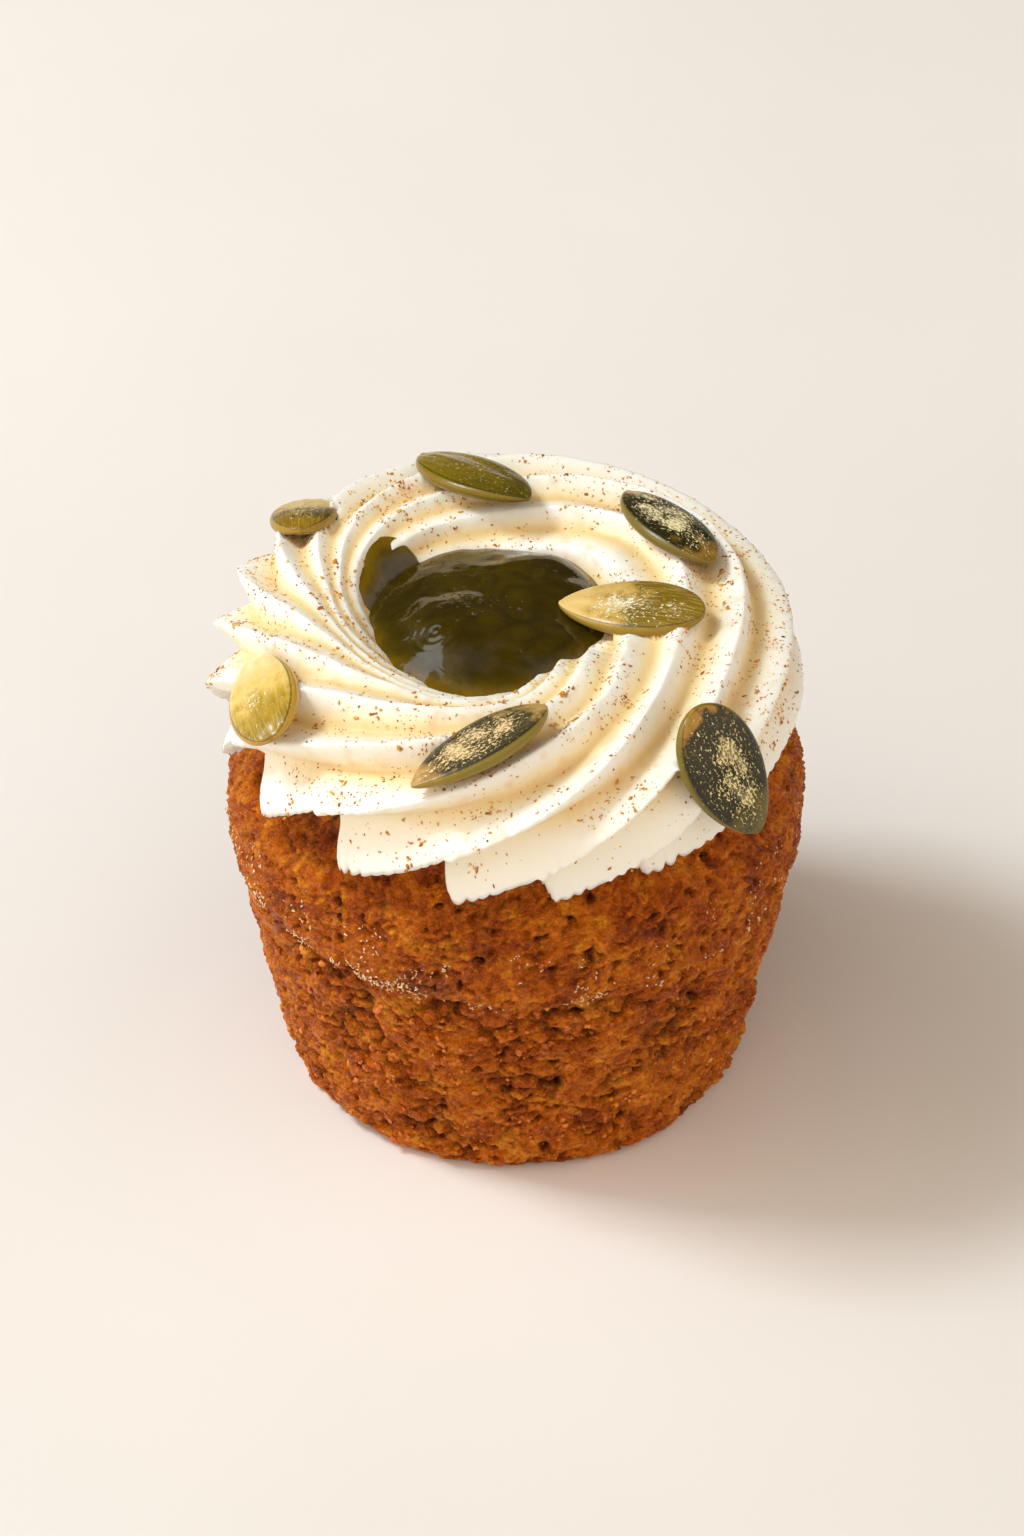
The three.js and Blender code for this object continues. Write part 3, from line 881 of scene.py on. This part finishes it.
gel = {
    "floor": 43.0,
    "edgeHeight": 57.0,
    "crown": 2.3,
    "reach": 1.6,  # past the crests, into the grooves of the well
    # each fold of gel as it settled: its middle, its size and its height, in mm
    "folds": [((-3.6, -2.6), 8.4, 3.5), ((3.4, 4.4), 8.4, 2.9), ((4.6, -4.6), 6.8, 2.4)],
    "crease": 0.22,
    # where it ran up over its bank
    "spills": [(radians(144), radians(12), 2.6), (radians(160), radians(16), 1.1)],
    "columns": 260,
    "rings": 90,
    "drip": (-6.4, -5.2),  # where the last of it was poured and left rings
    "dripPitch": 0.85,
    "dripHeight": 0.035,
    "bubbles": 46,
    "bubblesAt": (-3.4, 0.2),
    "bubblesSpread": 3.2,
    "bubbleSize": (0.18, 0.42),
    "seed": 5,
}


def bankShape(around):
    # half the ring's width here, and how far it rises
    right, front = cos(around), -sin(around)
    halfWidth = ring["halfWidth"] + ring["widerRight"] * right + ring["widerFront"] * front
    return halfWidth, ring["riseAbove"] + ring["riseFront"] * front


def wellRadius(around, height):
    halfWidth, rise = bankShape(around)
    up, square = (height - ring["height"]) / rise, 1
    if height <= ring["height"]:
        up, square = (height - ring["height"]) / ring["dropBelow"], ring["footSquareness"]
    return ring["radius"] - halfWidth * (1 - up ** 2) ** (0.5 * square)


def bankHeight(around, radius):
    # the smooth form of the cream's inner bank
    halfWidth, rise = bankShape(around)
    across = clamp((ring["radius"] - radius) / halfWidth)
    return ring["height"] + rise * math.sqrt(1 - across ** 2)


def gelTop(x, y, share):
    # height above the gel's edge: folds that ran together, with creases between them
    tops = [gel["crown"] * (1 - share ** 2.4)]
    for (foldX, foldY), size, tall in gel["folds"]:
        bend = 0.8 * noise.noise(Vector((x / 5, y / 5, foldX)))
        away = math.hypot(x - foldX, y - foldY) / size + bend * 0.12
        tops.append(tall * (1 - away ** 2.2))
    highest = max(tops)
    total = sum(math.exp((top - highest) / gel["crease"]) for top in tops)
    height = highest + gel["crease"] * math.log(total)
    drip = math.hypot(x - gel["drip"][0], y - gel["drip"][1])
    rings = gel["dripHeight"] * cos(2 * pi * drip / gel["dripPitch"])
    height += rings * (1 - smoothStep(drip, 1.5, 4))
    at = Vector((x, y, 0))
    return height + 0.22 * lumps(at, 4, 8) + 0.08 * lumps(at, 1.6, 5)


def makeGel():
    bm = bmesh.new()
    profile = [(0, 0), (0.5, 0), (1, 0)]
    profile += [(1, 0.3), (1, 0.6), (1, 0.9), (1, 1)]
    profile += [(1 - i / gel["rings"], 1) for i in range(1, gel["rings"] + 1)]
    line = [bm.verts.new((x, 0, z)) for x, z in profile]
    edges = [bm.edges.new(pair) for pair in zip(line, line[1:])]
    bmesh.ops.spin(bm, geom=line + edges, cent=(0, 0, 0), axis=(0, 0, 1), angle=2 * pi,
                   steps=gel["columns"], use_merge=True)
    bmesh.ops.remove_doubles(bm, verts=bm.verts, dist=1e-5)
    bmesh.ops.recalc_face_normals(bm, faces=bm.faces)
    thinLayer = bm.verts.layers.float.new("thin")
    for vert in bm.verts:
        x, y, z = vert.co
        share, around = math.hypot(x, y), math.atan2(y, x)
        height = mix(gel["floor"], gel["edgeHeight"], z)
        spill = z * max(far * near(around, middle, spread) for middle, spread, far in gel["spills"])
        well = wellRadius(around, height) + gel["reach"] * smoothStep(height, 50, 56)
        wall = well + spill + 0.3 * lumps(Vector((x * 30, y * 30, 0)), 2.5, 3) * z
        px, py = share * wall * cos(around), share * wall * sin(around)
        if z == 1:
            inWell = clamp(share * wall / well)
            height += gelTop(px, py, inWell) * (1 - smoothStep(inWell, 0.86, 1) * 0.4)
            film = mix(0.4, -0.3, smoothStep(share * wall, well - 1, well + spill))
            film -= 1.5 * (1 - smoothStep(spill, 0.2, 1))
            height = max(height, bankHeight(around, share * wall) + film)
        vert.co = ring["centre"] + Vector((px, py, height))
        vert[thinLayer] = smoothStep(share, 0.75, 0.98) * 0.5
    return finishPiece(bm, "gelPool", makeGelMaterial(), ["gel"])


makeGel()


def makeBubbles():
    # air bubbles caught under the gel's skin, each a bead that takes its own glint
    random.seed(gel["seed"])
    places = []
    middleX, middleY = gel["bubblesAt"]
    for _ in range(gel["bubbles"]):
        away = abs(random.gauss(0, gel["bubblesSpread"]))
        around = random.uniform(0, 2 * pi)
        x, y = middleX + away * cos(around), middleY + 0.8 * away * sin(around)
        height = gel["edgeHeight"] + gelTop(x, y, math.hypot(x, y) / 12)
        size = mix(*gel["bubbleSize"], random.random() ** 2)
        at = ring["centre"] + Vector((x, y, height - 0.35 * size))
        sizes = (size, size * random.uniform(0.7, 1), size * 0.8)
        places.append(surfaceMatrix(at, Vector((0, 0, 1)), random.uniform(0, pi), sizes))
    joinCopies("gelBubbles", makeGelMaterial(), roughGrain(2, 0.1), places)


makeBubbles()


# The pumpkin seeds

# worn places are ellipses on the face: middle along and across it as shares of its half
# sizes, their reach along and across, and how far the flecks there take over
seedLooks = [
    {"body": [(0.2, "#8a6a12"), (0.4, "#3a2f0a"), (0.52, "#c49a34"), (0.8, "#d8ae4a")],
     "fibre": "#dcb85c", "paper": "#ecd696", "band": "#a07e22", "line": "#3f320a",
     "worn": [(0, 0, 1, 0.9, 0.6)], "flecks": "#e8cf8c", "oil": 0.3, "gloss": 0.3},
    {"body": [(0.1, "#8c7412"), (0.5, "#75600a"), (0.9, "#4f4308")],
     "fibre": "#96802a", "paper": "#d8c276", "band": "#806812", "line": "#2c2405",
     "worn": [(0, 0, 1, 1, 0.28)], "flecks": "#dccb8a", "oil": 0.4, "gloss": 0.2},
    {"body": [(0.02, "#c89440"), (0.16, "#332c10"), (0.8, "#26220a"), (1.0, "#9c7428")],
     "fibre": "#4c4320", "paper": "#e8d9ae", "band": "#7c6822", "line": "#1c1705",
     "worn": [(-0.2, 0, 0.95, 1, 1.15), (0.5, 0, 0.5, 0.8, 0.6)], "flecks": "#f6e4aa",
     "oil": 0.35, "gloss": 0.3},
    {"body": [(0.1, "#85690f"), (0.42, "#7a600f"), (0.6, "#c8a04a"), (0.85, "#e4be74")],
     "fibre": "#dcc078", "paper": "#f0e0ae", "band": "#94761c", "line": "#42330a",
     "worn": [(0.1, 0.2, 0.6, 0.9, 0.85), (-0.6, 0.3, 0.4, 0.6, 0.5)], "flecks": "#f4e8c4",
     "oil": 0.35, "gloss": 0.3},
    {"body": [(0.06, "#957615"), (0.36, "#c29c38"), (0.56, "#e8c36c"), (0.9, "#f7dc9a")],
     "fibre": "#ecd088", "paper": "#f0dfa2", "band": "#c4942a", "line": "#4a3a0c",
     "worn": [(-0.1, 0.2, 0.35, 0.4, 0.6)], "flecks": "#f2e4b4", "oil": 0.8, "gloss": 0.18},
    {"body": [(0.03, "#c69c58"), (0.18, "#4a4226"), (0.7, "#36321a"), (0.97, "#cf9f5c")],
     "fibre": "#77704c", "paper": "#e0bf8a", "band": "#8e7a22", "line": "#262008",
     "worn": [(0.1, 0.1, 1, 0.95, 1.15)], "flecks": "#f2cf94", "oil": 0.25, "gloss": 0.34},
    {"body": [(0.03, "#b08030"), (0.14, "#353010"), (0.6, "#25220a"), (0.95, "#6a5c1c")],
     "fibre": "#4f4724", "paper": "#dccb98", "band": "#7a6a14", "line": "#171404",
     "worn": [(0, 0.1, 0.8, 0.55, 1.2), (0, 0, 1.1, 1.1, 0.5)], "flecks": "#f7e2a2",
     "oil": 0.45, "gloss": 0.26},
]


def wornAt(x, y, places):
    worn = 0
    for alongMiddle, acrossMiddle, alongReach, acrossReach, strength in places:
        away = math.hypot((x - alongMiddle) / alongReach, (y - acrossMiddle) / acrossReach)
        worn = max(worn, strength * (1 - smoothStep(away, 0.35, 1.05)))
    return worn


def makeSeed(number, seed, look):
    bm = bmesh.new()
    length, width = seed["size"]
    bmesh.ops.create_uvsphere(bm, u_segments=120, v_segments=90, radius=1,
                              matrix=Matrix.Rotation(pi / 2, 4, "Y"))
    skinLayer = bm.verts.layers.float_vector.new("skin")
    layers = {key: bm.verts.layers.float.new(key) for key in ("along", "paper", "band", "line")}
    matrix = seedMatrix(seed)
    for vert in bm.verts:
        x, y, z = vert.co
        t = clamp((x + 1) / 2, 1e-4, 1 - 1e-4)
        angle = math.atan2(z, y)
        fullness = seedFullness(t, seed["ends"])
        side = math.copysign(abs(cos(angle)) ** seedBoxiness, cos(angle))
        up = math.copysign(abs(sin(angle)) ** seedBoxiness, sin(angle))
        flat = Vector((x * length / 2, side * width / 2 * fullness, number * 9))
        thick = seedThickness / 2 * fullness ** 0.7
        edge = max(abs(side), abs(x) ** 8)
        # the faces are a little hollow inside a low bead along their edge
        bead = 0.08 * hill(edge, 0.88, 0.06) - 0.14 * hill(edge, 0.4, 0.35)
        warp = 0.16 * noise.noise(Vector((flat.x / 5, flat.y / 3, number)))
        wrinkle = 0.06 * noise.noise(Vector((flat.x / 3, flat.y / 0.8, number)))
        worn = wornAt(x, side, look["worn"]) * (0.75 + 0.6 * lumps(flat, 2.2, number * 1.7))
        height = up * thick + (bead + wrinkle + warp) * abs(up) ** 3 * math.copysign(1, up)
        vert.co = matrix @ Vector((flat.x, flat.y, height))
        vert[skinLayer] = flat
        vert[layers["along"]] = t
        vert[layers["paper"]] = clamp(worn, 0, 1.2)
        vert[layers["band"]] = smoothStep(abs(side), 0.9, 0.97) * 0.9
        vert[layers["line"]] = 0.85 * hill(edge, 0.9, 0.02) * smoothStep(abs(up), 0.35, 0.5)
    bmesh.ops.recalc_face_normals(bm, faces=bm.faces)
    material = makeSeedMaterial("roastedSeedSkin" + str(number), look)
    return finishPiece(bm, "pumpkinSeed" + str(number), material,
                       ["pumpkin_seed_" + str(number)])


for index, (seed, look) in enumerate(zip(seedPlaces, seedLooks)):
    makeSeed(index + 1, seed, look)


# Ground cinnamon on the cream

spice = {
    "count": 6800,
    "size": (0.05, 0.16),
    "large": 0.05,
    "clumps": 46,
    "clumpGrain": (0.08, 0.2),
    "fullDensity": 0.06,
    "seed": 11,
}


def creamFace(around, place):
    # a point on the cream, the way out of it, and how much surface one step covers
    at, _ = creamSurface(around, place)
    along = creamSurface(around + 0.01, place)[0] - at
    over = creamSurface(around, place + 0.02)[0] - at
    normal = along.cross(over)
    area = normal.length
    middle = ring["centre"] + Vector((ring["radius"] * cos(around),
                                      ring["radius"] * sin(around), ring["height"]))
    if normal.dot(at - middle) < 0:
        normal.negate()
    return at, normal.normalized(), area


def makeSpice():
    random.seed(spice["seed"])
    places = []
    clumps = []
    while len(places) < spice["count"]:
        around, place = random.uniform(0, 2 * pi), random.uniform(0, ring["ridges"])
        at, normal, area = creamFace(around, place)
        if random.random() > area / spice["fullDensity"]:
            continue
        clustered = 0.42 + 0.9 * lumps(at, 6, 11) + 0.7 * lumps(at, 1.7, 19)
        level = smoothStep(normal.z, -0.1, 0.7) * smoothStep(at.z, 44, 56)
        if random.random() > (0.08 + 0.92 * level) * clamp(clustered):
            continue
        size = mix(*spice["size"], random.random() ** 1.6)
        if random.random() < spice["large"]:
            size *= 1.8
        sizes = (size * random.uniform(0.9, 1.7), size * random.uniform(0.6, 1), size * 0.6)
        places.append(surfaceMatrix(at, normal, random.uniform(0, pi), sizes))
        if len(clumps) < spice["clumps"] and random.random() < 0.03:
            clumps.append((around, place))
    # clumps of grains that fell together
    for around, place in clumps:
        for _ in range(random.randint(4, 9)):
            at, normal, _ = creamFace(random.gauss(around, 0.018), random.gauss(place, 0.06))
            size = random.uniform(*spice["clumpGrain"])
            sizes = (size * 1.3, size, size * 0.8)
            places.append(surfaceMatrix(at, normal, random.uniform(0, pi), sizes))
    joinCopies("cinnamon", makeSpiceMaterial(), roughGrain(1, 1.1), places)


makeSpice()


# Floor, lights and camera

def makeFloor():
    bm = bmesh.new()
    bmesh.ops.create_grid(bm, x_segments=1, y_segments=1, size=3)
    mesh = bpy.data.meshes.new("floor")
    bm.to_mesh(mesh)
    bm.free()
    material, tree, shader, coords = startMaterial("palePlaster", {"Roughness": 0.9})
    addClouds(tree, shader, coords, 60, 3, [(0.3, "#e9e1d9"), (0.7, "#ece4dd")])
    mesh.materials.append(material)
    floor = bpy.data.objects.new("floor", mesh)
    scene.collection.objects.link(floor)


studio = {
    "keyFrom": (-0.61, 0.08, 0.83),
    "keySize": 0.55,
    "keyPower": 1.9,
    "keyTint": "#e8f6ff",
    "glintSize": 0.22,  # a bare bulb inside the softbox, for the wet highlights
    "glintPower": 6.0,
    "fillFrom": (-0.93, -0.2, 0.32),  # a pale reflector, low at the left
    "fillSize": 0.5,
    "fillPower": 1.3,
    "fillTint": "#fff4e6",
    "world": "#fff3e3",  # warm bounced light, against the cool daylight of the key
    "worldStrength": 1.0,
    "darkTowards": (0, 0.77, 0.64),  # a dark screen high behind, so wet tops stay deep
    "darkShare": 0.05,
}


def addSoftbox(name, place, size, power, tint):
    data = bpy.data.lights.new(name, "AREA")
    data.shape = "SQUARE"
    data.size = size
    data.energy = power
    data.color = colour(tint)[:3]
    light = bpy.data.objects.new(name, data)
    light.location = place
    aim = Vector((0, 0, 0.035)) - Vector(place)
    light.rotation_euler = aim.to_track_quat("-Z", "Y").to_euler()
    scene.collection.objects.link(light)


def makeStudio():
    keyFrom, keyTint = studio["keyFrom"], studio["keyTint"]
    addSoftbox("keyLight", keyFrom, studio["keySize"], studio["keyPower"], keyTint)
    addSoftbox("glintLight", keyFrom, studio["glintSize"], studio["glintPower"], keyTint)
    addSoftbox("fillLight", studio["fillFrom"], studio["fillSize"], studio["fillPower"],
               studio["fillTint"])
    world = bpy.data.worlds.new("studio")
    world.use_nodes = True
    back = world.node_tree.nodes["Background"]
    back.inputs["Color"].default_value = colour(studio["world"])
    towards = addNode(world.node_tree, "TexCoord").outputs["Generated"]
    facing = addNode(world.node_tree, "VectorMath", {"operation": "DOT_PRODUCT",
                                                     1: studio["darkTowards"]}, {0: towards})
    strength = studio["worldStrength"]
    level = remap(world.node_tree, facing.outputs["Value"], 0.35, 0.82,
                  strength, strength * studio["darkShare"])
    world.node_tree.links.new(level, back.inputs["Strength"])
    scene.world = world
    scene.view_settings.view_transform = "Standard"


view = {"target": (-0.43, 0, 36.4), "elevation": radians(39.5), "distance": 460, "lens": 97.97}


def makeCamera():
    data = bpy.data.cameras.new("camera")
    data.sensor_fit = "VERTICAL"
    data.sensor_height = 36
    data.lens = view["lens"]
    camera = bpy.data.objects.new("camera", data)
    back = Vector((0, -cos(view["elevation"]), sin(view["elevation"])))
    camera.location = (Vector(view["target"]) + back * view["distance"]) * mm
    camera.rotation_euler = (pi / 2 - view["elevation"], 0, 0)
    scene.collection.objects.link(camera)
    scene.camera = camera


makeFloor()
makeStudio()
makeCamera()
